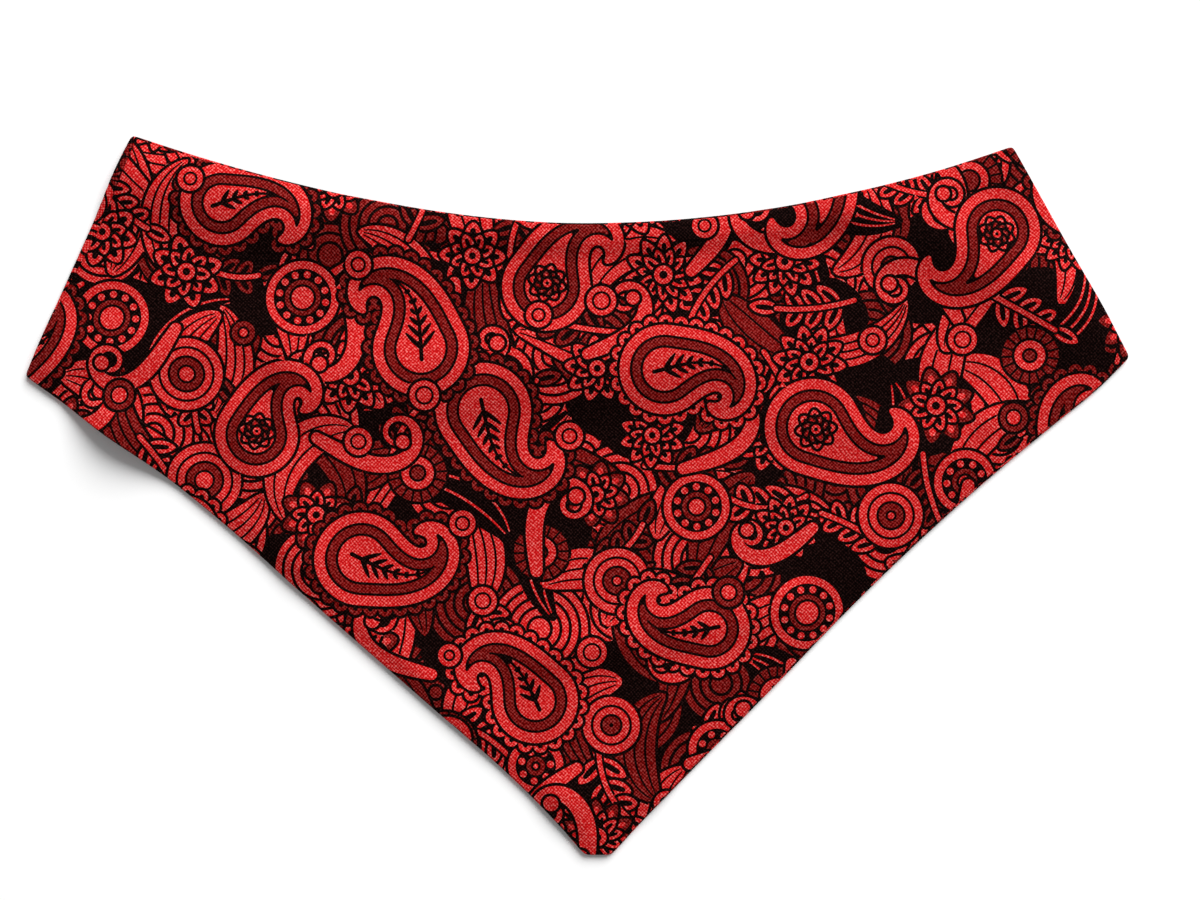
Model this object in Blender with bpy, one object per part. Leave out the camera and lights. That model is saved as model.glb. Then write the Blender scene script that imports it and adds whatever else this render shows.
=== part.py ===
"""Dog bandana: two panels of printed cotton, sewn face to face, turned and laid flat.

The bandana lies on a table at z = 0 with its neckline towards +Y and its tip towards -Y. The origin is
under the middle of its outline. Each panel is a thin wall laid over a grid of straight sections that run
from the neckline (v = 0) down to the lower edges (v = 1). The first section is the slanted left end
(u = 0) and the last is the right one (u = 1).
"""

import bpy
import numpy as np

MM = 0.001

# Corners of the cut as it lies, in millimetres, before they are rounded
NECK_LEFT = (-168.9, 136.8)
NECK_RIGHT = (165.2, 132.9)
WING_LEFT = (-209.8, 45.5)
WING_RIGHT = (209.8, 52.7)
TIP_LEFT = (2.6, -136.4)
TIP_RIGHT = (12.9, -136.4)

# Neckline: how far it dips below the line between its corners, and how full each half of the dip is
NECK_DIP = 31.5
NECK_FULLNESS_LEFT = 1.75
NECK_FULLNESS_RIGHT = 2.0

# Lower edges: how far they bow into the cloth, at shares of the way from the wing to the tip
LOWER_LEFT_BOW = [
    {"share": 0.00, "bow": 0.0},
    {"share": 0.12, "bow": 3.0},
    {"share": 0.21, "bow": 5.3},
    {"share": 0.33, "bow": 6.4},
    {"share": 0.50, "bow": 5.6},
    {"share": 0.70, "bow": 4.9},
    {"share": 0.85, "bow": 4.4},
    {"share": 0.94, "bow": 2.5},
    {"share": 1.00, "bow": 0.0},
]
LOWER_RIGHT_BOW = [
    {"share": 0.00, "bow": 0.0},
    {"share": 0.06, "bow": -0.2},
    {"share": 0.14, "bow": 1.6},
    {"share": 0.26, "bow": 4.0},
    {"share": 0.44, "bow": 5.3},
    {"share": 0.54, "bow": 4.9},
    {"share": 0.66, "bow": 3.6},
    {"share": 0.82, "bow": 2.4},
    {"share": 0.94, "bow": 1.2},
    {"share": 1.00, "bow": 0.0},
]

# Cloth and seam
WALL = 1.0
SEAM_GAP = 0.3
CORNER_PULL = 0.7  # how far each turned corner falls short of its sharp point
RIM = 2.0  # width of the rounded rim at the turned edge
RIM_DROP = 0.45  # how far the rim rounds off at the very edge
ALLOWANCE_BULK = 0.9  # lift where the seam allowances lie between the panels
ALLOWANCE_WIDTH = 14.0
SEAM_ROLL = 2.6  # how far the front stops short at the top of the left end, where the seam rolls forward
SEAM_ROLL_REACH = 0.55  # share of the left end that it reaches down
SEAM_ROLL_ONSET = 1.6  # how soon the roll grows to its full size, above where it starts

# Soft folds: a ridge from one point to another, bowed sideways at its middle
FOLDS = [
    {"name": "middle", "from": (-98, 42), "to": (58, 52), "bow": 2, "half_width": 28, "height": 4.8},
    {"name": "neck_left", "from": (-178, 123), "to": (-76, 97), "bow": 0, "half_width": 23, "height": 4.6},
    {"name": "neck_middle", "from": (-78, 110), "to": (98, 110), "bow": -8, "half_width": 15, "height": 2.9},
    {"name": "neck_right", "from": (106, 113), "to": (190, 68), "bow": 2, "half_width": 25, "height": 4.4},
    {"name": "wing_left", "from": (-196, 56), "to": (-120, 60), "bow": -2, "half_width": 20, "height": 3.0},
    {"name": "wing_right", "from": (158, 33), "to": (186, 52), "bow": 0, "half_width": 15, "height": 1.8},
    {"name": "slant_left", "from": (-134, 34), "to": (-102, -22), "bow": 3, "half_width": 19, "height": 2.5},
    {"name": "lower_left", "from": (-115, -16), "to": (-35, -90), "bow": 1, "half_width": 15, "height": 0.8},
    {"name": "lower_middle", "from": (-18, -59), "to": (77, -40), "bow": -3, "half_width": 15, "height": 2.7},
    {"name": "lower_right", "from": (32, -91), "to": (150, 25), "bow": 1, "half_width": 19, "height": 3.2},
    {"name": "tip", "from": (-3, -115), "to": (27, -111), "bow": 0, "half_width": 17, "height": 2.3},
]
BACK_SHARE = 0.3  # share of each fold that the back panel follows; the front panel follows it all
EDGE_SHARE = 0.65  # share that both follow at the sewn edge
SETTLING_WIDTH = 15.0  # how far inside the edge each panel takes up its own share

# The lower left edge arches off the table: where its crown meets the edge, and which way it runs inwards
ARCH_AT = (-178.0, 19.5)
ARCH_INWARD = (0.70, 0.714)
ARCH_HEIGHT = 8.0
ARCH_WING_WIDTH = 27.0  # how far the arch reaches from its line, along the edge
ARCH_TIP_WIDTH = 33.0
ARCH_REACH = 74.0
ARCH_TAPER = 0.55  # share of its width that the arch loses by its inner end

# Grid of each panel
COLUMNS_PER_SIDE = 19
ROWS = 22
TIP_FROM = 0.49  # share of the way round the lower edge where the blunt tip starts
TIP_TO = 0.51

FRONT_RED = (0.42, 0.035, 0.045, 1.0)
BACK_RED = (0.36, 0.03, 0.04, 1.0)
CLOTH_ROUGHNESS = 0.85
SHARP_ANGLE = 40.0  # degrees between faces above which an edge shades sharp


def through_rows(share, rows, column):
    """Smooth curve through a table's rows: a cubic between each pair, level with its neighbours' slopes."""
    at = np.array([row["share"] for row in rows])
    value = np.array([row[column] for row in rows])
    slope = np.gradient(value, at)
    i = np.clip(np.searchsorted(at, share, side="right") - 1, 0, len(at) - 2)
    span = at[i + 1] - at[i]
    t = (share - at[i]) / span
    rise = t * t * (3 - 2 * t)
    start_pull = t * (1 - t) ** 2 * slope[i] * span
    end_pull = -t * t * (1 - t) * slope[i + 1] * span
    return value[i] * (1 - rise) + value[i + 1] * rise + start_pull + end_pull


def smooth_step(t):
    """0 below 0, 1 above 1, and an even S between."""
    t = np.clip(t, 0, 1)
    return t * t * (3 - 2 * t)


def along(start, end, share, bow):
    """Points from start to end, moved by bow to the right of that direction."""
    start = np.array(start)
    end = np.array(end)
    chord = end - start
    right = np.array([chord[1], -chord[0]]) / np.hypot(*chord)
    return start + share[..., None] * chord + bow[..., None] * right


def neckline(u):
    """The concave top edge, from the left corner to the right one."""
    from_middle = np.abs(2 * u - 1)
    fullness = np.where(u < 0.5, NECK_FULLNESS_LEFT, NECK_FULLNESS_RIGHT)
    return along(NECK_LEFT, NECK_RIGHT, u, NECK_DIP * (1 - from_middle**fullness))


def lower_edge(u):
    """The lower boundary: left wing to tip, across the blunt tip, and tip to right wing."""
    left = np.clip(u / TIP_FROM, 0, 1)
    right = np.clip((1 - u) / (1 - TIP_TO), 0, 1)
    across = (u - TIP_FROM) / (TIP_TO - TIP_FROM)
    left_points = along(WING_LEFT, TIP_LEFT, left, -through_rows(left, LOWER_LEFT_BOW, "bow"))
    right_points = along(WING_RIGHT, TIP_RIGHT, right, through_rows(right, LOWER_RIGHT_BOW, "bow"))
    tip_points = along(TIP_LEFT, TIP_RIGHT, across, 0 * across)
    on_left = (u <= TIP_FROM)[..., None]
    on_right = (u >= TIP_TO)[..., None]
    return np.where(on_left, left_points, np.where(on_right, right_points, tip_points))


def panel_grid():
    """Rows and columns of plan points, with a narrow rim on every side and blunted corners."""
    rim_u = RIM / (NECK_RIGHT[0] - NECK_LEFT[0])
    left = np.linspace(rim_u, TIP_FROM, COLUMNS_PER_SIDE + 1)
    right = np.linspace(TIP_TO, 1 - rim_u, COLUMNS_PER_SIDE + 1)
    u = np.concatenate([[0], left, [(TIP_FROM + TIP_TO) / 2], right, [1]])
    length = np.linalg.norm(lower_edge(u) - neckline(u), axis=1)
    rim_v = (RIM / length)[:, None]
    inner = np.linspace(0, 1, ROWS + 1)[None, :]
    v = np.hstack([0 * rim_v, rim_v + (1 - 2 * rim_v) * inner, 0 * rim_v + 1])
    top, bottom = neckline(u)[:, None], lower_edge(u)[:, None]
    plan = top + v[..., None] * (bottom - top)
    for column in (0, -1):
        for row in (0, -1):
            across = 1 if column == 0 else -2
            down = 1 if row == 0 else -2
            to_inside = plan[across, down] - plan[column, row]
            plan[column, row] += CORNER_PULL * to_inside / np.hypot(*to_inside)
    box_middle = (plan.min(axis=(0, 1)) + plan.max(axis=(0, 1))) / 2
    return plan - box_middle


def rolled_seam(plan):
    """The same grid with its left rim drawn in from the top, where the seam rolls to the front."""
    drawn_in = plan.copy()
    down_the_end = np.linspace(0, 1, plan.shape[1])
    amount = SEAM_ROLL * smooth_step(SEAM_ROLL_ONSET * (1 - down_the_end / SEAM_ROLL_REACH))
    inwards = plan[2] - plan[0]
    inwards /= np.linalg.norm(inwards, axis=1)[:, None]
    drawn_in[:2] += amount[None, :, None] * inwards[None]
    return drawn_in


def fold_height(x, y):
    """Sum of the soft ridges: each is half a cosine across its own bowed line."""
    height = np.zeros_like(x)
    for fold in FOLDS:
        start_x, start_y = fold["from"]
        run_x, run_y = np.subtract(fold["to"], fold["from"])
        length = np.hypot(run_x, run_y)
        ahead = ((x - start_x) * run_x + (y - start_y) * run_y) / length
        aside = ((y - start_y) * run_x - (x - start_x) * run_y) / length
        share = np.clip(ahead / length, 0, 1)
        past_end = ahead - share * length
        off_line = np.hypot(aside - fold["bow"] * 4 * share * (1 - share), past_end)
        height += fold["height"] * (0.5 + 0.5 * np.cos(np.pi * np.minimum(off_line / fold["half_width"], 1)))
    return height


def arch_height(x, y):
    """The flute at the lower left edge: highest at the edge, narrower and lower as it runs inwards."""
    inward = (x - ARCH_AT[0]) * ARCH_INWARD[0] + (y - ARCH_AT[1]) * ARCH_INWARD[1]
    sideways = (x - ARCH_AT[0]) * ARCH_INWARD[1] - (y - ARCH_AT[1]) * ARCH_INWARD[0]
    fade = np.clip(1 - inward / ARCH_REACH, 0, 1.1)
    width = np.where(sideways < 0, ARCH_WING_WIDTH, ARCH_TIP_WIDTH)
    half_width = width * (1 - ARCH_TAPER * (1 - fade))
    across = 0.5 + 0.5 * np.cos(np.pi * np.minimum(np.abs(sideways) / half_width, 1))
    return ARCH_HEIGHT * fade**2 * across


def edge_distance(plan):
    """How far each grid point is from the nearest stretch of the panel's own outline."""
    outline = np.concatenate([plan[:, 0], plan[-1, 1:], plan[-2::-1, -1], plan[0, -2:0:-1]])
    run = np.roll(outline, -1, axis=0) - outline
    offset = plan[:, :, None, :] - outline
    share = np.clip((offset * run).sum(-1) / (run * run).sum(-1), 0, 1)
    return np.linalg.norm(offset - share[..., None] * run, axis=-1).min(-1)


def allowance_lift(distance):
    """The seam allowances hold the front up a little just inside the edge."""
    return ALLOWANCE_BULK * np.sin(np.pi * np.clip(distance / ALLOWANCE_WIDTH, 0, 1)) ** 2


def lie_height(x, y, distance, own_share):
    """The arch, and the share of the folds that a panel follows: its own, or the common one at the edge."""
    settled = smooth_step(distance / SETTLING_WIDTH)
    return (EDGE_SHARE + (own_share - EDGE_SHARE) * settled) * fold_height(x, y) + arch_height(x, y)


def at_rim(shape):
    """1 on the outermost points of the grid and 0 elsewhere."""
    rim = np.ones(shape)
    rim[1:-1, 1:-1] = 0
    return rim


def cloth_wall(name, plan, under, over, colour):
    """A closed wall: the grid at its under height, the same grid at its over height, and a strip between."""
    columns, rows = under.shape
    lower = np.dstack([plan, under]).reshape(-1, 3)
    upper = np.dstack([plan, over]).reshape(-1, 3)
    count = len(lower)
    index = np.arange(count).reshape(columns, rows)
    a, b, c, d = index[:-1, :-1], index[1:, :-1], index[1:, 1:], index[:-1, 1:]
    down_faces = np.stack([a, b, c, d], -1).reshape(-1, 4)
    up_faces = np.stack([a, d, c, b], -1).reshape(-1, 4) + count
    ring = np.concatenate([index[:, 0], index[-1, 1:], index[-2::-1, -1], index[0, -2:0:-1]])
    after = np.roll(ring, -1)
    side_faces = np.stack([ring, ring + count, after + count, after], -1)
    mesh = bpy.data.meshes.new(name)
    points = np.vstack([lower, upper]) * MM
    faces = np.vstack([down_faces, up_faces, side_faces])
    mesh.from_pydata(points.tolist(), [], faces.tolist())
    mesh.shade_smooth()
    mesh.set_sharp_from_angle(angle=np.radians(SHARP_ANGLE))
    mesh.materials.append(cotton(name + "_cotton", colour))
    panel = bpy.data.objects.new(name, mesh)
    bpy.context.scene.collection.objects.link(panel)
    return panel


def cotton(name, colour):
    material = bpy.data.materials.new(name)
    material.use_nodes = True
    shader = material.node_tree.nodes["Principled BSDF"]
    shader.inputs["Base Color"].default_value = colour
    shader.inputs["Roughness"].default_value = CLOTH_ROUGHNESS
    shader.inputs["Metallic"].default_value = 0.0
    return material


def back_panel():
    """The panel that rests on the table: flat but for a share of each fold and the arched edge."""
    plan = panel_grid()
    x, y = plan[..., 0], plan[..., 1]
    under = lie_height(x, y, edge_distance(plan), BACK_SHARE)
    rim = at_rim(x.shape)
    return cloth_wall("back_panel", plan, under + RIM_DROP * rim, under + WALL, BACK_RED)


def front_panel():
    """The panel that shows: it lies on the back panel and follows each fold in full."""
    plan = rolled_seam(panel_grid())
    x, y = plan[..., 0], plan[..., 1]
    distance = edge_distance(plan)
    under = lie_height(x, y, distance, 1.0) + allowance_lift(distance) + WALL + SEAM_GAP
    rim = at_rim(x.shape)
    return cloth_wall("front_panel", plan, under, under + WALL - RIM_DROP * rim, FRONT_RED)


for old in list(bpy.data.objects):
    bpy.data.objects.remove(old, do_unlink=True)

back_panel()
front_panel()
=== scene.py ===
"""Dog bandana: printed cotton, lying front up on a pale table with its neckline away from the viewer.

Lengths are in millimetres, but for the table, light and camera, and become metres where the meshes are
made. The origin is on the table under the middle of the outline, +Y runs from the tip to the neckline
and +Z is up.
"""

import bpy
import numpy as np
from mathutils.geometry import delaunay_2d_cdt
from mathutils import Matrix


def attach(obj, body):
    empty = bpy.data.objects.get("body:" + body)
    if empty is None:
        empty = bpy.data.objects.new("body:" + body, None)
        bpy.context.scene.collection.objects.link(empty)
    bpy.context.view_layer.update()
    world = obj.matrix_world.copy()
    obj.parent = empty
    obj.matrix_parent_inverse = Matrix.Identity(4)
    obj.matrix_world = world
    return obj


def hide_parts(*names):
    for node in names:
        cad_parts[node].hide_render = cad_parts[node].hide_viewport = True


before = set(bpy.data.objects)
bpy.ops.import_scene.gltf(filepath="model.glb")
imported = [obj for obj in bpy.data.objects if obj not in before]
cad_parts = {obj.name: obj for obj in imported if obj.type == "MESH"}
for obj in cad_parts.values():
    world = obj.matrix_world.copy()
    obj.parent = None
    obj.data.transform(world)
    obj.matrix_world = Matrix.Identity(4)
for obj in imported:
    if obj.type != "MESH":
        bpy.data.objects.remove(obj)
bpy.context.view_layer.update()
MM = 0.001


# ----------------------------------------
# Table. A wide flat top, painted white and matt, that the bandana was laid out on. It carries the
# shadows of the arch and of the folded edges.

TABLE_WIDTH = 8.0
TABLE_DROP = 0.0001  # how far the top lies below the cloth, so that the two don't share a face
TABLE_WHITE = (0.92, 0.92, 0.92, 1)
TABLE_ROUGHNESS = 0.9

bpy.ops.mesh.primitive_plane_add(size=TABLE_WIDTH, location=(0, 0, -TABLE_DROP))
table = bpy.context.object
table.name = "table"
paint = bpy.data.materials.new("white_table")
paint.use_nodes = True
paint.node_tree.nodes["Principled BSDF"].inputs["Base Color"].default_value = TABLE_WHITE
paint.node_tree.nodes["Principled BSDF"].inputs["Roughness"].default_value = TABLE_ROUGHNESS
table.data.materials.append(paint)


# ----------------------------------------
# Back panel. One piece of plain-weave quilting cotton, printed on its outer side. It has the same cut
# as the front, is sewn to it right sides together and turned, and rests on the table, print down.

# The cut: corners before they are rounded, the dip of the neckline, and how far the lower edges bow into
# the cloth, at shares of the way from the wing to the tip
NECK_LEFT = (-168.9, 136.8)
NECK_RIGHT = (165.2, 132.9)
WING_LEFT = (-209.8, 45.5)
WING_RIGHT = (209.8, 52.7)
TIP_LEFT = (2.6, -136.4)
TIP_RIGHT = (12.9, -136.4)
NECK_DIP = 31.5
NECK_FULLNESS_LEFT = 1.75
NECK_FULLNESS_RIGHT = 2.0
LOWER_LEFT_BOW = [
    {"share": 0.00, "bow": 0.0},
    {"share": 0.12, "bow": 3.0},
    {"share": 0.21, "bow": 5.3},
    {"share": 0.33, "bow": 6.4},
    {"share": 0.50, "bow": 5.6},
    {"share": 0.70, "bow": 4.9},
    {"share": 0.85, "bow": 4.4},
    {"share": 0.94, "bow": 2.5},
    {"share": 1.00, "bow": 0.0},
]
LOWER_RIGHT_BOW = [
    {"share": 0.00, "bow": 0.0},
    {"share": 0.06, "bow": -0.2},
    {"share": 0.14, "bow": 1.6},
    {"share": 0.26, "bow": 4.0},
    {"share": 0.44, "bow": 5.3},
    {"share": 0.54, "bow": 4.9},
    {"share": 0.66, "bow": 3.6},
    {"share": 0.82, "bow": 2.4},
    {"share": 0.94, "bow": 1.2},
    {"share": 1.00, "bow": 0.0},
]
OUTLINE_STEP = 0.5
CORNER_SOFTNESS = 1.3  # how far the turned corners blur
SIDE_POINTS = 400  # points worked out along each side before they are spaced evenly


def through_rows(share, rows, column):
    """Smooth curve through a table's rows: a cubic between each pair, level with its neighbours' slopes."""
    at = np.array([row["share"] for row in rows])
    value = np.array([row[column] for row in rows])
    slope = np.gradient(value, at)
    i = np.clip(np.searchsorted(at, share, side="right") - 1, 0, len(at) - 2)
    span = at[i + 1] - at[i]
    t = (share - at[i]) / span
    rise = t * t * (3 - 2 * t)
    start_pull = t * (1 - t) ** 2 * slope[i] * span
    end_pull = -t * t * (1 - t) * slope[i + 1] * span
    return value[i] * (1 - rise) + value[i + 1] * rise + start_pull + end_pull


def along(start, end, share, bow):
    """Points from start to end, moved by bow to the right of that direction."""
    start, end = np.array(start), np.array(end)
    chord = end - start
    right = np.array([chord[1], -chord[0]]) / np.hypot(*chord)
    return start + share[:, None] * chord + bow[:, None] * right


def distance_gone(path):
    """Distance travelled to each point of a path."""
    return np.concatenate([[0], np.cumsum(np.linalg.norm(np.diff(path, axis=0), axis=1))])


def finished_outline():
    """The turned edge seen from above, counterclockwise in even steps, with corners blurred round.

    Also gives, for each point, the way out from the cloth and how far round it lies, and where each side
    starts.
    """
    share = np.linspace(0, 1, SIDE_POINTS, endpoint=False)
    left_bow = through_rows(share, LOWER_LEFT_BOW, "bow")
    right_bow = through_rows(1 - share, LOWER_RIGHT_BOW, "bow")
    fullness = np.where(share < 0.5, NECK_FULLNESS_RIGHT, NECK_FULLNESS_LEFT)
    dip = -NECK_DIP * (1 - np.abs(2 * share - 1) ** fullness)
    sides = [
        ("lower_left", along(WING_LEFT, TIP_LEFT, share, -left_bow)),
        ("tip", along(TIP_LEFT, TIP_RIGHT, share, 0 * share)),
        ("lower_right", along(TIP_RIGHT, WING_RIGHT, share, -right_bow)),
        ("right_end", along(WING_RIGHT, NECK_RIGHT, share, 0 * share)),
        ("neckline", along(NECK_RIGHT, NECK_LEFT, share, dip)),
        ("left_end", along(NECK_LEFT, WING_LEFT, share, 0 * share)),
    ]
    rough = np.vstack([points for _, points in sides])
    closed = np.vstack([rough, rough[:1]])
    gone = distance_gone(closed)
    count = int(gone[-1] / OUTLINE_STEP)
    at = np.arange(count) * gone[-1] / count
    even = np.interp(at, gone, closed[:, 0]) + 1j * np.interp(at, gone, closed[:, 1])
    frequency = 2 * np.pi * np.fft.fftfreq(count, OUTLINE_STEP)
    soft = np.fft.ifft(np.fft.fft(even) * np.exp(-((frequency * CORNER_SOFTNESS) ** 2) / 2))
    middle = (soft.real.min() + soft.real.max()) / 2 + 0.5j * (soft.imag.min() + soft.imag.max())
    soft -= middle
    run = np.roll(soft, -1) - np.roll(soft, 1)
    out = -1j * run / np.abs(run)
    side_start = {name: gone[SIDE_POINTS * i] for i, (name, _) in enumerate(sides)}
    side_start["end"] = gone[-1]
    return np.stack([soft.real, soft.imag], axis=1), np.stack([out.real, out.imag], axis=1), at, side_start


outline, outward, travelled, side_start = finished_outline()


# How it lies: the folds are ridges from one point to another, bowed sideways at their middle, and the
# lower left edge arches off the table
FOLDS = [
    {"name": "middle", "from": (-98, 42), "to": (58, 52), "bow": 2, "half_width": 28, "height": 4.8},
    {"name": "neck_left", "from": (-178, 123), "to": (-76, 97), "bow": 0, "half_width": 23, "height": 4.6},
    {"name": "neck_middle", "from": (-78, 110), "to": (98, 110), "bow": -8, "half_width": 15, "height": 2.9},
    {"name": "neck_right", "from": (106, 113), "to": (190, 68), "bow": 2, "half_width": 25, "height": 4.4},
    {"name": "wing_left", "from": (-196, 56), "to": (-120, 60), "bow": -2, "half_width": 20, "height": 3.0},
    {"name": "wing_right", "from": (158, 33), "to": (186, 52), "bow": 0, "half_width": 15, "height": 1.8},
    {"name": "slant_left", "from": (-134, 34), "to": (-102, -22), "bow": 3, "half_width": 19, "height": 2.5},
    {"name": "lower_left", "from": (-115, -16), "to": (-35, -90), "bow": 1, "half_width": 15, "height": 0.8},
    {"name": "lower_middle", "from": (-18, -59), "to": (77, -40), "bow": -3, "half_width": 15, "height": 2.7},
    {"name": "lower_right", "from": (32, -91), "to": (150, 25), "bow": 1, "half_width": 19, "height": 3.2},
    {"name": "tip", "from": (-3, -115), "to": (27, -111), "bow": 0, "half_width": 17, "height": 2.3},
]
BACK_SHARE = 0.3  # share of each fold that the back panel follows; the front panel follows it all
EDGE_SHARE = 0.65  # share that both follow at the sewn edge
SETTLING_WIDTH = 15.0  # how far inside the edge each panel takes up its own share
ARCH_AT = (-178.0, 19.5)
ARCH_INWARD = (0.70, 0.714)
ARCH_HEIGHT = 8.0
ARCH_WING_WIDTH = 27.0  # how far the arch reaches from its line, along the edge
ARCH_TIP_WIDTH = 33.0
ARCH_REACH = 74.0
ARCH_TAPER = 0.55  # share of its width that the arch loses by its inner end


def smooth_step(t):
    """0 below 0, 1 above 1, and an even S between."""
    t = np.clip(t, 0, 1)
    return t * t * (3 - 2 * t)


def ridge_height(x, y, ridges):
    """Sum of soft ridges: each is half a cosine across its own bowed line."""
    height = np.zeros_like(x)
    for ridge in ridges:
        start_x, start_y = ridge["from"]
        run_x, run_y = np.subtract(ridge["to"], ridge["from"])
        length = np.hypot(run_x, run_y)
        ahead = ((x - start_x) * run_x + (y - start_y) * run_y) / length
        aside = ((y - start_y) * run_x - (x - start_x) * run_y) / length
        share = np.clip(ahead / length, 0, 1)
        past_end = ahead - share * length
        off_line = np.hypot(aside - ridge["bow"] * 4 * share * (1 - share), past_end)
        across = 0.5 + 0.5 * np.cos(np.pi * np.minimum(off_line / ridge["half_width"], 1))
        height += ridge["height"] * across
    return height


def arch_height(x, y):
    """The flute at the lower left edge: highest at the edge, narrower and lower as it runs inwards."""
    inward = (x - ARCH_AT[0]) * ARCH_INWARD[0] + (y - ARCH_AT[1]) * ARCH_INWARD[1]
    sideways = (x - ARCH_AT[0]) * ARCH_INWARD[1] - (y - ARCH_AT[1]) * ARCH_INWARD[0]
    fade = np.clip(1 - inward / ARCH_REACH, 0, 1.1)
    width = np.where(sideways < 0, ARCH_WING_WIDTH, ARCH_TIP_WIDTH)
    half_width = width * (1 - ARCH_TAPER * (1 - fade))
    across = 0.5 + 0.5 * np.cos(np.pi * np.minimum(np.abs(sideways) / half_width, 1))
    return ARCH_HEIGHT * fade**2 * across


def table_height(x, y, inside, front):
    """Height of a panel's lie above the table at plan points that are so far inside the edge."""
    settled = smooth_step(inside / SETTLING_WIDTH)
    own_share = 1.0 if front else BACK_SHARE
    fold_share = EDGE_SHARE + (own_share - EDGE_SHARE) * settled
    height = fold_share * ridge_height(x, y, FOLDS) + arch_height(x, y)
    return height + front_relief(x, y, inside, settled) if front else height


# The sewn edge: a half round roll of both panels. The seam lies in its middle or a little forward of it,
# by so much along the roll towards the front, at shares of each side
EDGE_RADIUS = 1.15
SKIN = 0.45  # thickness of one panel's cloth
SEAM_GROOVE = 0.4  # depth of the groove where the two panels meet
SEAM_WIDTH = 0.45
SEAM_ROLL = [
    {"side": "left_end", "share": 0.00, "roll": 1.4},
    {"side": "left_end", "share": 0.04, "roll": 3.3},
    {"side": "left_end", "share": 0.20, "roll": 4.3},
    {"side": "left_end", "share": 0.45, "roll": 3.6},
    {"side": "left_end", "share": 0.62, "roll": 2.0},
    {"side": "left_end", "share": 0.80, "roll": 0.6},
    {"side": "left_end", "share": 1.00, "roll": 0.3},
    {"side": "lower_left", "share": 0.50, "roll": 0.0},
    {"side": "tip", "share": 0.50, "roll": 0.2},
    {"side": "lower_right", "share": 0.20, "roll": 1.0},
    {"side": "lower_right", "share": 0.80, "roll": 1.2},
    {"side": "right_end", "share": 0.10, "roll": 0.2},
    {"side": "right_end", "share": 0.90, "roll": 0.1},
    {"side": "neckline", "share": 0.10, "roll": 1.1},
    {"side": "neckline", "share": 0.45, "roll": 1.0},
    {"side": "neckline", "share": 0.75, "roll": 0.4},
]


def seam_roll(at):
    """How far the seam lies towards the front along the edge's roll, at each distance travelled."""
    names = list(side_start)
    spans = {name: (side_start[name], side_start[names[i + 1]]) for i, name in enumerate(names[:-1])}
    where = [np.interp(row["share"], (0, 1), spans[row["side"]]) for row in SEAM_ROLL]
    order = np.argsort(where)
    where = np.array(where)[order]
    roll = np.array([row["roll"] for row in SEAM_ROLL])[order]
    return np.interp(at, where, roll, period=side_start["end"])


roll = seam_roll(travelled)
HALF_ROLL = EDGE_RADIUS * np.pi / 2
SLACK = HALF_ROLL - EDGE_RADIUS  # cloth that the roll takes up beyond the outline
SEARCH_AT_ONCE = 4000  # points whose nearest stretch of edge is looked for together
SURE_OF_SIDE = 8.0  # past this distance only the side of the edge is taken from the nearest stretch


def near_edge(points):
    """Signed distance inside the outline, the way out, and the seam's roll there, at the nearest point."""
    inside = np.empty(len(points))
    nearest = np.empty(len(points), dtype=int)
    for first in range(0, len(points), SEARCH_AT_ONCE):
        some = points[first : first + SEARCH_AT_ONCE]
        squared = ((some[:, None, :] - outline[None, ::2]) ** 2).sum(axis=-1)
        found = 2 * squared.argmin(axis=1)
        nearest[first : first + SEARCH_AT_ONCE] = found
        flat = ((outline[found] - some) * outward[found]).sum(axis=1)
        distance = np.sqrt(squared.min(axis=1))
        far = np.copysign(distance, flat)
        inside[first : first + SEARCH_AT_ONCE] = np.where(distance < SURE_OF_SIDE, flat, far)
    return inside, outward[nearest], roll[nearest]


def cloth_surface(points, front, depth):
    """Puts points of the flat cut in place, a depth below the panel's outer face.

    Away from the edge a point keeps its place in plan. Within the roll, its distance from the middle of
    the edge becomes an angle round a half circle, and what runs past that lies flat on the other side.
    """
    inside, out, rolled = near_edge(points)
    along_roll = inside + SLACK
    seam_at = -rolled if not front else rolled
    groove = SEAM_GROOVE * np.exp(-(((along_roll - seam_at) / SEAM_WIDTH) ** 2))
    radius = EDGE_RADIUS - depth - groove
    angle = np.clip(along_roll / EDGE_RADIUS, -np.pi / 2, np.pi / 2)
    past = np.where(along_roll < -HALF_ROLL, -along_roll - HALF_ROLL, np.maximum(along_roll - HALF_ROLL, 0))
    new_inside = EDGE_RADIUS - radius * np.cos(angle) + past
    plan = points + out * (inside - new_inside)[:, None]
    x, y = plan.T
    lie = table_height(x, y, new_inside, front)
    rise = radius * np.sin(angle)
    return np.column_stack([plan, lie + EDGE_RADIUS + (rise if front else -rise)])


# The print: paisley drops, rosettes, roundels, striped leaves, sprigs and tendrils in black and two reds.
# They overlap without a gap, later ones lie over earlier ones, and each has a black line round it
BLACK_INK, DEEP_RED, BRIGHT_RED = 0, 1, 2
OWN_INK = None  # stands in a row for the ink that the motif is given
LINE = 1.2
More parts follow.
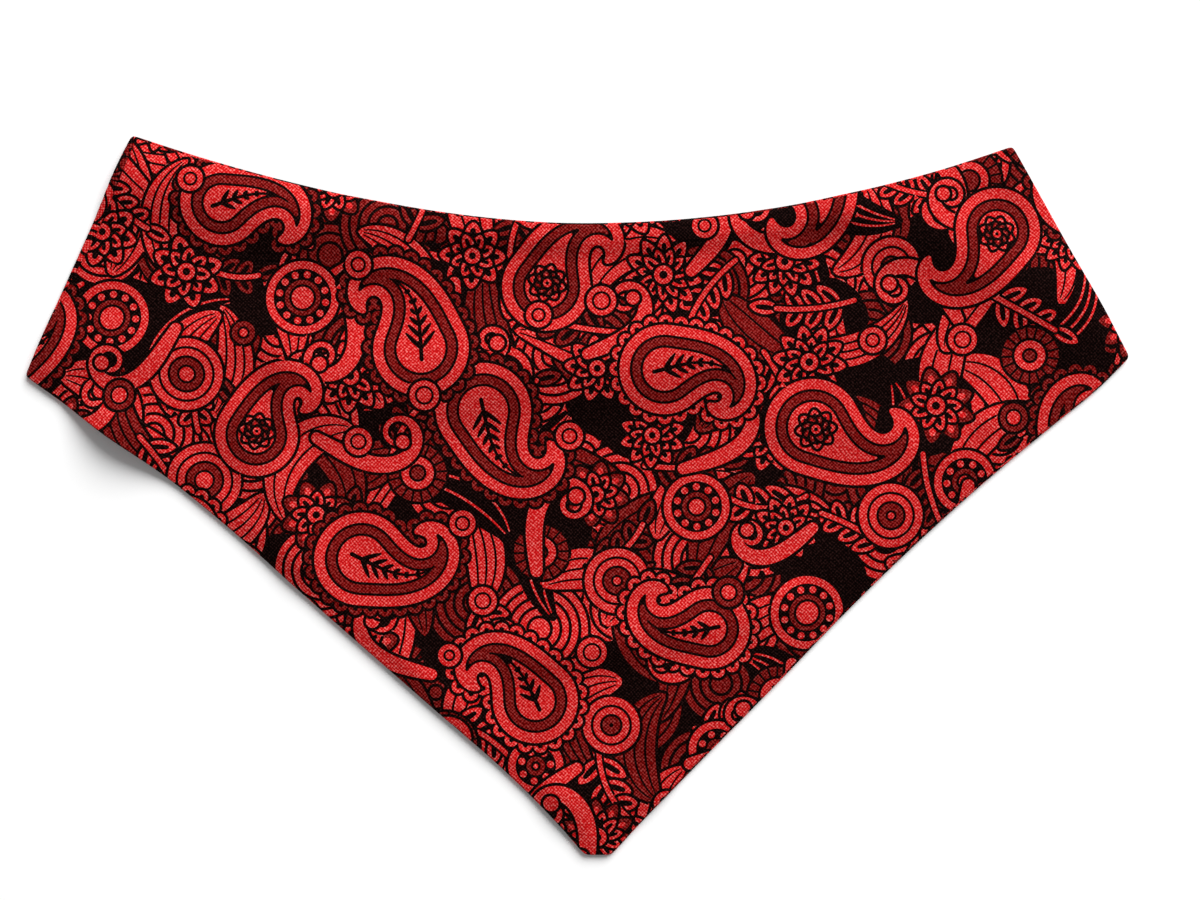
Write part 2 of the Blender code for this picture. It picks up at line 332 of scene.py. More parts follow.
# Discs or bands one on another, each so far inside the motif's edge
BANDS = {
    "beaded": [
        {"inset": 0.0, "ink": BRIGHT_RED},
        {"inset": 2.8, "ink": BLACK_INK},
        {"inset": 7.0, "ink": DEEP_RED},
        {"inset": 8.6, "ink": BLACK_INK},
        {"inset": 9.6, "ink": BRIGHT_RED},
    ],
    "ringed": [
        {"inset": 0.0, "ink": BRIGHT_RED},
        {"inset": 2.9, "ink": BLACK_INK},
        {"inset": 3.9, "ink": BRIGHT_RED},
        {"inset": 6.4, "ink": BLACK_INK},
        {"inset": 7.4, "ink": DEEP_RED},
        {"inset": 9.9, "ink": BLACK_INK},
        {"inset": 10.8, "ink": BRIGHT_RED},
    ],
    "rayed": [
        {"inset": 0.0, "ink": DEEP_RED},
        {"inset": 3.6, "ink": BLACK_INK},
        {"inset": 4.7, "ink": BRIGHT_RED},
        {"inset": 7.4, "ink": BLACK_INK},
        {"inset": 8.4, "ink": DEEP_RED},
    ],
    "button": [
        {"inset": 0.0, "ink": OWN_INK},
        {"inset": 1.9, "ink": BLACK_INK},
        {"inset": 2.8, "ink": BRIGHT_RED},
    ],
    "bud": [{"inset": 0.0, "ink": BRIGHT_RED}],
    "ripple": [{"inset": 0.0, "ink": OWN_INK}],
    "scallop": [
        {"inset": 0.0, "ink": OWN_INK},
        {"inset": 1.6, "ink": BLACK_INK},
    ],
    "paisley": [
        {"inset": 3.8, "ink": BLACK_INK},
        {"inset": 4.8, "ink": DEEP_RED},
        {"inset": 7.8, "ink": BLACK_INK},
        {"inset": 8.8, "ink": BRIGHT_RED},
    ],
}
BEAD = {"inset": 4.9, "pitch": 4.4, "radius": 1.35}
RAY = {"inset": 3.6, "pitch": 3.8, "radius": 0.42}
RIPPLE_PITCH = 3.6
SCALLOP = {"radius": 2.6, "pitch": 5.6}
LEAF_STRIPES = ((-0.4, 0.4), (-0.52, 0, 0.52))  # at shares of the leaf's half width
STRIPE_WIDTH = 0.45
# Proportions: shares of the motif's size, but for a petal's vein, a share of its width, a curl, the power
# with which a path's turn grows along it, and millimetres in "least" and "ribs_clear"
PETAL = {"foot": 0.2, "length": 0.8, "width": 0.66, "vein": 0.4}
ROSETTE_EYE = {"bud": 0.24, "pupil": 0.11}
TENDRIL = {"curl": 2.6, "taper": 0.25, "bud": 0.78}
PAISLEY = {"length": 3.1, "curl": 2.2, "waist": 0.12, "least": 1.0, "rosette": 0.42, "middle": 0.3}
PAISLEY_VEIN = {"foot": 0.25, "length": 0.6, "ribs": 0.45, "ribs_clear": 10.0}
RIB_WIDTHS = (0.7, 0.9, 0.8, 0.4)
PAISLEY_PETALS = 8  # of the rosette in a plain paisley
PETAL_ROUNDS = [
    {"reach": 1.0, "turned": 0.0},
    {"reach": 0.66, "turned": 0.5},
]
SPRIG_PAIRS = [
    {"up_the_stem": 0.22, "leaf": 0.36},
    {"up_the_stem": 0.48, "leaf": 0.31},
    {"up_the_stem": 0.74, "leaf": 0.26},
]
SPRIG_LEAF = {"tip": 0.34, "width": 0.085}
SPRIG_LEAN = 0.9  # angle between the stem and its leaves
SPRIG_STEM = 0.9  # half the stem's width, and the width of its black line
PETALS = (8, 12)  # from the first to less than the second
LEAF_INKS = {BLACK_INK: 0.14, DEEP_RED: 0.30, BRIGHT_RED: 0.56}  # how often each is drawn
PETAL_INKS = {BRIGHT_RED: 0.6, DEEP_RED: 0.4}
STREWN = {
    "ripple": {"apart": 15, "clear": 0, "size": (13, 19)},
    "leaf": {"apart": 21, "clear": 0, "size": (38, 56), "half_width": (6.0, 8.6), "bend": (0.6, 2.2)},
    "sprig": {"apart": 36, "clear": 0, "size": (26, 33), "bend": (-1.2, 1.2)},
    "paisley": {"apart": 57, "clear": 0, "size": (14, 17.5), "curl": (3.4, 4.7)},
    "rosette": {"apart": 30, "clear": 29, "size": (12, 15)},
    "roundel": {"apart": 30, "clear": 29, "size": (10, 14)},
    "tendril": {"apart": 40, "clear": 14, "size": (58, 76), "half_width": (3.0, 3.7), "turn": (7.5, 10)},
    "button": {"apart": 24, "clear": 24, "size": (4.2, 5.6)},
}
SPOTS_TRIED = 4000
PRINT_REACH = (222, 150)
CHORD_ERROR = 0.035  # how far a drawn chord may stand off its curve
LEAST_RADIUS = 0.5  # no disc smaller than this is drawn
LEAST_BAND = 0.4  # nor a band of a paisley narrower than this to each side
PATH_STEP = 1.4
LEAF_STEP = 1.9
ASIDE = 0.08  # how far to each side of an edge the inks are compared
GRID_REACH = (280, 200)  # half the width and depth of the grid that tells what lies on the cloth
GRID_STEP = 4
GRID_MARGIN = 9


def chord_length(radius):
    """Length of the chord that stands CHORD_ERROR off a circle: the root of 8 x radius x error."""
    return np.sqrt(8 * CHORD_ERROR * np.maximum(radius, 0.3))


def unit(angle):
    """Unit vectors at angles."""
    return np.stack([np.cos(angle), np.sin(angle)], axis=-1)


def headings(path):
    """Unit vectors along a path and to its left."""
    run = np.gradient(path, axis=0)
    ahead = run / np.maximum(np.linalg.norm(run, axis=1), 1e-9)[:, None]
    return ahead, np.stack([-ahead[:, 1], ahead[:, 0]], axis=1)


def carried_disc(path, radius, grow=0.0):
    """Outline swept by a disc that is carried along a path while its radius changes.

    A side point stands off the path by the radius, leaning back by the slope of the radius, so that it
    touches the disc. Each end is closed by the arc of its own disc.
    """
    ahead, aside = headings(path)
    gone = distance_gone(path)
    radius = np.maximum(radius + grow, 0.05)
    slope = np.clip(np.gradient(radius, gone), -0.95, 0.95)
    behind = (-radius * slope)[:, None] * ahead
    reach = (radius * np.sqrt(1 - slope**2))[:, None] * aside
    caps = []
    for end in (-1, 0):
        lean = np.arccos(-slope[end])
        sweep = 2 * lean if end else 2 * np.pi - 2 * lean
        count = int(np.ceil(sweep * radius[end] / chord_length(radius[end])))
        share = np.linspace(0, 1, count + 2)[1:-1, None]
        angle = lean - share * sweep if end else -lean - share * sweep
        caps.append(path[end] + radius[end] * (np.cos(angle) * ahead[end] + np.sin(angle) * aside[end]))
    return np.vstack([path + behind + reach, caps[0], (path + behind - reach)[::-1], caps[1]])


def curled_path(length, turn, power, start=0.0, step=PATH_STEP):
    """Path whose heading starts at one angle and turns with a power of the share of its length gone."""
    count = max(int(length / step), 6)
    share = np.linspace(0, 1, count)
    heading = start + turn * share**power
    moves = unit(heading)[:-1] * length / (count - 1)
    return np.vstack([[0, 0], np.cumsum(moves, axis=0)]), share, heading


def disc(centre, radius):
    """Outline of a disc, with as many chords as its radius needs."""
    count = max(int(2 * np.pi * radius / chord_length(radius)), 8)
    return np.array(centre) + radius * unit(np.linspace(0, 2 * np.pi, count, endpoint=False))


def banded(motif, radius, own_ink=BRIGHT_RED):
    """A round motif: a black disc a line wider than it, then the disc of each of its rows on that."""
    shapes = [(disc((0, 0), radius + LINE), BLACK_INK)]
    for band in BANDS[motif]:
        if radius - band["inset"] > LEAST_RADIUS:
            ink = own_ink if band["ink"] is OWN_INK else band["ink"]
            shapes.append((disc((0, 0), radius - band["inset"]), ink))
    return shapes


def round_a_ring(radius, pitch):
    """Unit vectors that part a ring into whole steps of about a pitch."""
    count = int(2 * np.pi * radius / pitch)
    return unit(2 * np.pi * np.arange(count) / count)


def outlined(path, radius, ink, line=LINE):
    """A carried disc in one ink over a black one that stands a line's width proud of it."""
    return [(carried_disc(path, radius, line), BLACK_INK), (carried_disc(path, radius), ink)]


def place(shapes, at, turn=0.0, mirrored=False):
    """Shapes turned about their origin, mirrored if asked, and moved to a point."""
    cos, sin = np.cos(turn), np.sin(turn)
    matrix = np.array([[cos, sin], [-sin, cos]])
    if mirrored:
        matrix = np.array([[1, 0], [0, -1]]) @ matrix
    return [(outline @ matrix + at, ink) for outline, ink in shapes]


def striped_leaf(length, half_width, bend, ink, stripes):
    """Bowed leaf, half a sine wave wide, with thin stripes at shares of its half width.

    The stripes are black, or bright red on a black leaf.
    """
    path, share, _ = curled_path(length, bend, 1.0, -bend / 2, LEAF_STEP)
    radius = half_width * np.sin(np.pi * share) ** 0.7 * (1.1 - 0.35 * share) + 0.15
    _, aside = headings(path)
    stripe_width = STRIPE_WIDTH * np.sin(np.pi * share) ** 0.3
    stripe_ink = BRIGHT_RED if ink == BLACK_INK else BLACK_INK
    shapes = outlined(path, radius, ink)
    for stripe in stripes:
        beside = path + aside * (stripe * radius)[:, None]
        shapes.append((carried_disc(beside[1:-1], stripe_width[1:-1]), stripe_ink))
    return shapes


def petal(start, angle, length, half_width, ink, vein):
    """Straight petal, half a sine wave wide and fullest past its middle, with a vein of another ink."""
    share = np.linspace(0, 1, 11)
    path = np.array(start) + length * share[:, None] * unit(angle)
    radius = half_width * np.sin(np.pi * share**0.85) ** 0.8 + 0.1
    return [*outlined(path, radius, ink), (carried_disc(path[2:-3], radius[2:-3] * PETAL["vein"]), vein)]


def rosette(radius, petals, outer_ink, inner_ink):
    """Two rounds of petals, the inner one half a petal on, round a ringed centre."""
    shapes = []
    for petal_round, ink in zip(PETAL_ROUNDS, (outer_ink, inner_ink)):
        vein = BLACK_INK if ink == BRIGHT_RED else BRIGHT_RED
        reach = petal_round["reach"] * radius
        half_width = PETAL["width"] * reach * np.sin(np.pi / petals)
        for angle in 2 * np.pi * (np.arange(petals) + petal_round["turned"]) / petals:
            foot = PETAL["foot"] * reach * unit(angle)
            shapes += petal(foot, angle, PETAL["length"] * reach, half_width, ink, vein)
    pupil = (disc((0, 0), ROSETTE_EYE["pupil"] * radius), BLACK_INK)
    return [*shapes, *banded("bud", ROSETTE_EYE["bud"] * radius), pupil]


def roundel(kind, radius):
    """Rings one in another: a beaded one has beads on its black ring, a rayed one rays across its rim."""
    shapes = banded(kind, radius)
    if kind == "beaded":
        on_ring = radius - BEAD["inset"]
        for out in round_a_ring(on_ring, BEAD["pitch"]):
            shapes.append((disc(on_ring * out, BEAD["radius"]), BRIGHT_RED))
    if kind == "rayed":
        reach = np.linspace(radius - RAY["inset"], radius + RAY["radius"], 4)[:, None]
        for out in round_a_ring(radius, RAY["pitch"]):
            shapes.append((carried_disc(reach * out, np.full(4, RAY["radius"])), BLACK_INK))
    return shapes


def ripple(radius, ink):
    """Rings of one ink parted by black lines: the ground that shows between the other motifs."""
    radii = np.arange(radius, LINE, -RIPPLE_PITCH)
    return [shape for ring in radii for shape in banded("ripple", ring, ink)]


def tendril(length, half_width, turn):
    """Tapered ribbon that curls up to a round bud."""
    path, share, _ = curled_path(length, turn, TENDRIL["curl"])
    swell = 0.35 + 0.65 * np.sin(np.pi * np.clip(share * 1.15 + 0.12, 0, 1)) ** 0.8
    shapes = outlined(path, half_width * swell * (1 - TENDRIL["taper"] * share), BRIGHT_RED)
    return shapes + place(banded("bud", TENDRIL["bud"] * half_width), path[-1])


def sprig(length, bend, ink):
    """Bowed stem with pairs of leaves and one at its end."""
    path, _, heading = curled_path(length, bend, 1.0)
    half_width = SPRIG_LEAF["width"] * length
    shapes = []
    for pair in SPRIG_PAIRS:
        i = int(pair["up_the_stem"] * (len(path) - 1))
        for lean in (-SPRIG_LEAN, SPRIG_LEAN):
            shapes += petal(path[i], heading[i] + lean, pair["leaf"] * length, half_width, ink, BLACK_INK)
    shapes += petal(path[-1], heading[-1], SPRIG_LEAF["tip"] * length, half_width, ink, BLACK_INK)
    return shapes + outlined(path, np.full(len(path), SPRIG_STEM), BRIGHT_RED, SPRIG_STEM)


def paisley_frill(edge, ink):
    """Scallops side by side along a paisley's edge: each is a small disc with a black eye."""
    ring = np.vstack([edge, edge[:1]])
    gone = distance_gone(ring)
    count = int(gone[-1] / SCALLOP["pitch"])
    at = np.arange(count) * gone[-1] / count
    centres = np.stack([np.interp(at, gone, ring[:, 0]), np.interp(at, gone, ring[:, 1])], axis=1)
    scallops = [place(banded("scallop", SCALLOP["radius"], ink), centre) for centre in centres]
    return [scallop[0] for scallop in scallops] + [shape for scallop in scallops for shape in scallop[1:]]


def paisley_vein(path, radius, size):
    """A black stem up the middle of a paisley, with a pair of short slanting ribs at every third step."""
    ahead, aside = headings(path)
    foot = path[0] - PAISLEY_VEIN["foot"] * size * ahead[0]
    stem = np.vstack([foot, path[: int(PAISLEY_VEIN["length"] * len(path))]])
    shapes = [(carried_disc(stem, np.linspace(0.8, 0.4, len(stem))), BLACK_INK)]
    for i in range(0, int(PAISLEY_VEIN["ribs"] * len(path)), 3):
        reach = np.linspace(0.6, max(radius[i] - PAISLEY_VEIN["ribs_clear"], 1.2), 4)[:, None]
        for side in (-1, 1):
            slant = 0.75 * ahead[i] + side * 0.66 * aside[i]
            shapes.append((carried_disc(path[i] + reach * slant, np.array(RIB_WIDTHS)), BLACK_INK))
    return shapes


def paisley(size, curl, frill_ink):
    """Drop whose narrowing end curls over, with bands of ink inside one another.

    One with a frill holds a leaf's vein, and a plain one holds a rosette.
    """
    path, share, _ = curled_path(PAISLEY["length"] * size, curl, PAISLEY["curl"])
    waist = 1 - PAISLEY["waist"] * np.sin(np.pi * share)
    radius = size * (1 - share) ** 0.85 * waist + PAISLEY["least"]
    frilled = frill_ink is not None
    shapes = paisley_frill(carried_disc(path, radius, LINE), frill_ink) if frilled else []
    shapes += outlined(path, radius, BRIGHT_RED)
    for band in BANDS["paisley"]:
        wide = radius > band["inset"] + LEAST_BAND
        shapes.append((carried_disc(path[wide], radius[wide] - band["inset"]), band["ink"]))
    if frilled:
        shapes += paisley_vein(path, radius, size)
    else:
        inner = rosette(PAISLEY["rosette"] * size, PAISLEY_PETALS, BRIGHT_RED, DEEP_RED)
        shapes += place(inner, path[1])
    middle = path[int(len(path) * PAISLEY["middle"])]
    return place(shapes, -middle)


def print_motifs(seed):
    """All the shapes of one stretch of the print, in the order in which they cover one another."""
    chance = np.random.default_rng(seed)
    shapes = []

    def spots(motif, taken=()):
        """Random points that keep apart from each other and clear of the taken ones."""
        kept = np.zeros((0, 2))
        taken = np.array(taken).reshape(-1, 2)
        for point in chance.uniform(np.negative(PRINT_REACH), PRINT_REACH, (SPOTS_TRIED, 2)):
            near = np.linalg.norm(kept - point, axis=1).min(initial=np.inf)
            busy = np.linalg.norm(taken - point, axis=1).min(initial=np.inf)
            if near > STREWN[motif]["apart"] and busy > STREWN[motif]["clear"]:
                kept = np.vstack([kept, point])
        return kept

    def drawn(motif, column="size"):
        return chance.uniform(*STREWN[motif][column])

    def strew(motif, point):
        turn = chance.uniform(0, 2 * np.pi)
        shapes.extend(place(motif, point, turn, chance.random() < 0.5))

    for point in spots("ripple"):
        strew(ripple(drawn("ripple"), chance.choice([BLACK_INK, DEEP_RED, BRIGHT_RED])), point)
    for point in spots("leaf"):
        ink = chance.choice(list(LEAF_INKS), p=list(LEAF_INKS.values()))
        stripes = LEAF_STRIPES[chance.integers(2)]
        shape = (drawn("leaf"), drawn("leaf", "half_width"), drawn("leaf", "bend"))
        strew(striped_leaf(*shape, ink, stripes), point)
    for point in spots("sprig"):
        ink = chance.choice([BRIGHT_RED, DEEP_RED])
        strew(sprig(drawn("sprig"), drawn("sprig", "bend"), ink), point)
    paisleys = spots("paisley")
    rounds = spots("rosette", paisleys)
    for number, point in enumerate(rounds):
        if number % 2:
            outer = chance.choice(list(PETAL_INKS), p=list(PETAL_INKS.values()))
            strew(rosette(drawn("rosette"), chance.integers(*PETALS), outer, BRIGHT_RED), point)
        else:
            kind = ("beaded", "ringed", "rayed")[number // 2 % 3]
            strew(roundel(kind, drawn("roundel")), point)
    for point in spots("tendril", paisleys):
        shape = (drawn("tendril"), drawn("tendril", "half_width"), drawn("tendril", "turn"))
        strew(tendril(*shape), point)
    for number, point in enumerate(paisleys):
        frill_ink = (None, DEEP_RED, BRIGHT_RED)[number % 3]
        strew(paisley(drawn("paisley"), drawn("paisley", "curl"), frill_ink), point)
    for number, point in enumerate(spots("button", np.vstack([paisleys, rounds]))):
        ink = DEEP_RED if number % 3 == 2 else BRIGHT_RED
        strew(banded("button", drawn("button"), ink), point)
    return shapes


def top_shape(points, shapes):
    """Number of the last shape that covers each point, or -1: its outline winds round the point."""
    order = np.argsort(points[:, 0])
    x, y = points[order].T
    top = np.full(len(points), -1)
    for number, (outline, _) in enumerate(shapes):
        low, high = outline.min(axis=0), outline.max(axis=0)
        first, last = np.searchsorted(x, (low[0], high[0]))
        near = first + np.flatnonzero((y[first:last] > low[1]) & (y[first:last] < high[1]))
        if not len(near):
            continue
        from_x, from_y = outline.T[:, :, None]
        to_x, to_y = np.roll(outline, -1, axis=0).T[:, :, None]
        left = (to_x - from_x) * (y[near] - from_y) - (x[near] - from_x) * (to_y - from_y)
        rising = (from_y <= y[near]) & (to_y > y[near]) & (left > 0)
        falling = (from_y > y[near]) & (to_y <= y[near]) & (left < 0)
        wound = rising.sum(axis=0) != falling.sum(axis=0)
        top[order[near[wound]]] = number
    return top


def ink_of(top, shapes):
    """Ink of each numbered shape, with black where there is none."""
    inks = np.array([ink for _, ink in shapes] + [BLACK_INK])
    return inks[top]


def on_cloth(points):
    """Whether points lie on the cut or close to it, looked up in a coarse grid of distances."""
    along_x, along_y = (np.arange(-reach, reach + 1, GRID_STEP) for reach in GRID_REACH)
    grid = np.stack(np.meshgrid(along_x, along_y, indexing="ij"), axis=-1)
    near = (near_edge(grid.reshape(-1, 2))[0] > -GRID_MARGIN).reshape(grid.shape[:2])
    i = np.clip(np.round((points + GRID_REACH) / GRID_STEP).astype(int), 0, np.array(near.shape) - 1)
    return near[i[:, 0], i[:, 1]]


def visible_edges(shapes):
    """Outline segments that part two inks: the shape shows just inside them, another ink just outside."""
    starts = np.vstack([outline for outline, _ in shapes])
    ends = np.vstack([np.roll(outline, -1, axis=0) for outline, _ in shapes])
    owner = np.repeat(np.arange(len(shapes)), [len(outline) for outline, _ in shapes])
    on = on_cloth(starts) | on_cloth(ends)
    starts, ends, owner = starts[on], ends[on], owner[on]
    run = ends - starts
    length = np.maximum(np.linalg.norm(run, axis=1), 1e-9)[:, None]
    across = ASIDE * np.stack([-run[:, 1], run[:, 0]], axis=1) / length
    middle = (starts + ends) / 2
    one_side = top_shape(middle + across, shapes)
    other_side = top_shape(middle - across, shapes)
    shows = (one_side == owner) | (other_side == owner)
    parts = ink_of(one_side, shapes) != ink_of(other_side, shapes)
    return starts[shows & parts], ends[shows & parts]


# The mesh: the flat cut is cut into triangles along the edges of the print, then laid in place. Rows of
# points follow the border, so far in from it, to carry the roll of the edge
BORDER_STEP = 1.0
RIM_STEP = 0.5  # length of the print's edges near the border
PRINT_ROWS = [
    {"step": 1.0, "inwards": (0.35, 0.75, 1.20, 1.70, 2.30)},
    {"step": 2.0, "inwards": (3.20, 4.60, 6.50)},
]
PLAIN_ROWS = [{"step": 2.0, "inwards": (0.60, 1.40, 2.40, 5.00)}]
RIM_WIDTH = 5.0
PRINT_SPACING = 3.6  # between the points of the honeycomb that fills the cut
PLAIN_SPACING = 8.0
CUT_REACH = (216, 144)
WELD = 0.02  # points closer than this are joined
CENTRES_IN_PARTS = 50
ON_CHART = {"print": ((0.01, 0.01), (0.98, 0.78)), "plain": ((0.01, 0.82), (0.30, 0.16))}


def ring_points(offset, step):
    """Points along the outline moved outwards by an offset that may vary, about a step apart."""
    count = int(len(outline) * OUTLINE_STEP / step)
    i = np.linspace(0, len(outline), count, endpoint=False).astype(int)
    offset = offset if np.ndim(offset) == 0 else offset[i, None]
    return outline[i] + outward[i] * offset


def honeycomb(spacing):
    """Rows of points half a step out of line with each other, over the whole cut."""
    x = np.arange(-CUT_REACH[0], CUT_REACH[0], spacing)
    y = np.arange(-CUT_REACH[1], CUT_REACH[1], spacing * np.sqrt(3) / 2)
    grid_x, grid_y = np.meshgrid(x, y)
    grid_x = grid_x + (np.arange(len(y)) % 2)[:, None] * spacing / 2
    return np.stack([grid_x.ravel(), grid_y.ravel()], axis=1)


def rows_within(rows, offset, spacing):
    """A honeycomb of points over the cut, and rows of points along its border."""
    rings = [ring_points(offset - inwards, row["step"]) for row in rows for inwards in row["inwards"]]
    return np.vstack([honeycomb(spacing), *rings])


def short_steps(starts, ends, step):
    """The same segments, each cut into so many equal ones that none is longer than its step."""
    pieces = np.maximum(np.ceil(np.linalg.norm(ends - starts, axis=1) / step), 1).astype(int)
    which = np.repeat(np.arange(len(starts)), pieces)
    number = np.arange(len(which)) - np.repeat(np.cumsum(pieces) - pieces, pieces)
    run = (ends - starts)[which] / pieces[which, None]
    new_starts = starts[which] + run * number[:, None]
    return new_starts, new_starts + run


def triangles_in(border, edges_from, edges_to, loose):
    """Delaunay triangles of everything inside the border, with the given edges kept as edges."""
    count = len(border)
    points = np.vstack([border, edges_from, edges_to, loose])
    first = count + np.arange(len(edges_from))
    edges = np.stack([first, first + len(edges_from)], axis=1)
    loop = [list(range(count))]
    made = delaunay_2d_cdt(points.tolist(), edges.tolist(), loop, 0, WELD, False)
    found, triangles = np.array([tuple(point) for point in made[0]]), np.array(made[2])
    some_centres = np.array_split(found[triangles].mean(axis=1), CENTRES_IN_PARTS)
    within = np.concatenate([top_shape(centres, [(border, 0)]) for centres in some_centres]) == 0
    triangles = triangles[within]
    used, numbered = np.unique(triangles, return_inverse=True)
    return found[used], numbered.reshape(-1, 3)


def border_loop(triangles, points, count):
    """The open edge of a triangulated sheet, as point numbers counterclockwise."""
    sides = np.concatenate([triangles[:, [0, 1]], triangles[:, [1, 2]], triangles[:, [2, 0]]])
    key = sides.min(axis=1) * count + sides.max(axis=1)
    _, first, times = np.unique(key, return_index=True, return_counts=True)
    open_sides = sides[first[times == 1]]
    after = np.full(count, -1)
    after[open_sides[:, 0]] = open_sides[:, 1]
    loop = [open_sides[0, 0]]
    while after[loop[-1]] != loop[0]:
        loop.append(after[loop[-1]])
    return np.array(loop)


def flat_panel(front, shapes):
    """The flat cut as triangles that follow the print, then the plain inner face with the same border."""
    offset = SLACK - roll if front else SLACK + roll
    border = ring_points(offset, BORDER_STEP)
    starts, ends = visible_edges(shapes)
    inside_start, inside_end = near_edge(starts)[0], near_edge(ends)[0]
    kept = np.maximum(inside_start, inside_end) > -SLACK - roll.max() - 1
    at_rim = np.minimum(inside_start, inside_end)[kept] < RIM_WIDTH
    step = np.where(at_rim, RIM_STEP, np.inf)
    starts, ends = short_steps(starts[kept], ends[kept], step)
    loose = rows_within(PRINT_ROWS, offset, PRINT_SPACING)
    points, triangles = triangles_in(border, starts, ends, loose)
    ink = ink_of(top_shape(points[triangles].mean(axis=1), shapes), shapes)
    loop = border_loop(triangles, points, len(points))
    loose = rows_within(PLAIN_ROWS, offset, PLAIN_SPACING)
    inside, _, rolled = near_edge(loose)
    loose = loose[inside + SLACK - (rolled if front else -rolled) > PRINT_ROWS[0]["inwards"][0]]
    nothing = np.zeros((0, 2))
    inner_points, inner_triangles = triangles_in(points[loop], nothing, nothing, loose)
    inner_loop = border_loop(inner_triangles, inner_points, len(inner_points))
    return points, triangles, ink, loop, inner_points, inner_triangles, inner_loop


def panel_object(name, front, seed):
    """One panel as a closed shell: printed outer face, plain inner face, and the cut edge between."""
    shapes = print_motifs(seed)
    owner = np.repeat(np.arange(len(shapes)), [len(outline) for outline, _ in shapes])
    touching = np.unique(owner[on_cloth(np.vstack([outline for outline, _ in shapes]))])
    shapes = [shapes[number] for number in touching]
    points, triangles, ink, loop, inner_points, inner_triangles, inner_loop = flat_panel(front, shapes)
    outer = cloth_surface(points, front, 0.0)
    inner = cloth_surface(inner_points, front, SKIN)
    first = np.linalg.norm(inner_points[inner_loop] - points[loop[0]], axis=1).argmin()
    joined = np.roll(inner_loop, -first) + len(outer)
    after, joined_after = np.roll(loop, -1), np.roll(joined, -1)
    strip = np.concatenate([np.stack([after, loop, joined], 1), np.stack([after, joined, joined_after], 1)])
    faces = np.concatenate([triangles, inner_triangles[:, ::-1] + len(outer), strip])
    faces = faces if front else faces[:, ::-1]
    mesh = bpy.data.meshes.new(name)
    mesh.from_pydata((np.vstack([outer, inner]) * MM).tolist(), [], faces.tolist())
    mesh.shade_smooth()
    face_ink = np.concatenate([ink, np.full(len(faces) - len(ink), BLACK_INK)])
    mesh.attributes.new("ink", "FLOAT", "FACE").data.foreach_set("value", face_ink.astype(np.float32))
    flat = np.vstack([points, inner_points])
    cut = np.column_stack([flat, np.zeros(len(flat))]).astype(np.float32)
    mesh.attributes.new("cut", "FLOAT_VECTOR", "POINT").data.foreach_set("vector", cut.ravel())
    share = (flat - flat.min(axis=0)) / (flat.max(axis=0) - flat.min(axis=0))
    if not front:
        share[:, 0] = 1 - share[:, 0]
    places = {side: corner + share * span for side, (corner, span) in ON_CHART.items()}
    on_plain = np.repeat(np.arange(len(faces)) >= len(triangles), 3)[:, None]
    corner_point = faces.ravel()
    chart = np.where(on_plain, places["plain"][corner_point], places["print"][corner_point])
    mesh.uv_layers.new(name="OFBake").data.foreach_set("uv", chart.astype(np.float32).ravel())
    panel = bpy.data.objects.new(name, mesh)
    bpy.context.scene.collection.objects.link(panel)
    return panel


# The cloth's looks: threads two ways with painted shade in the gaps between them, and pale colour at
# their crowns that is partly bare fibre, where the ink has not soaked in or has worn off, and partly a
# painted highlight where the crowns catch the light
THREAD = 0.70  # distance between threads
COLOURS = {
    "black": (0.0030, 0.0003, 0.0002, 1),
    "deep": (0.168, 0.0012, 0.0011, 1),
    "bright": (0.54, 0.0050, 0.0063, 1),
    # pale colour at the thread crowns: bare fibre, and a painted highlight
    "fibre_and_highlight": (1.0, 0.42, 0.38, 1),
}
FIBRE_AND_HIGHLIGHT_SHARE = {"black": 0.018, "deep": 0.085, "bright": 0.33}  # how much pale colour a crown shows: bare fibre, and a painted highlight where it catches the light
# Painted shade between threads: share of an ink's colour left in the gaps, and what bright ink keeps beyond
# it
PAINTED_GAP_SHADE = {"dark": 0.28, "bright": 0.42}
GAP_HEIGHTS = (-1.2, 0.2)  # heights on the weave, of about -2 to 2, between which a gap turns into thread
CROWN_HEIGHTS = (0.1, 1.9)  # heights between which a thread turns into its crown
HIGHLIGHT_AND_WORN_SHARE = (0.85, 0.30)  # of that pale colour: what every crown shows, bare fibre and painted highlight, and what more where it is worn
THREAD_SKEW = 0.04  # slope of the threads across the cut
THREAD_DRIFT = 1.6  # how far the threads wander
HEIGHTS = {"crossing": 1.3, "grain": 5.5, "slub": 1.2}  # what each adds to the height on the weave
THREAD_RELIEF = 0.00008  # in metres, as the bump has it
RELIEF_STRENGTH = 0.35
ROUGHNESS = 0.80
CROWN_ROUGHNESS = 0.12  # what a crown adds to it
GLOSS = 0.02
SHEEN = 0.001


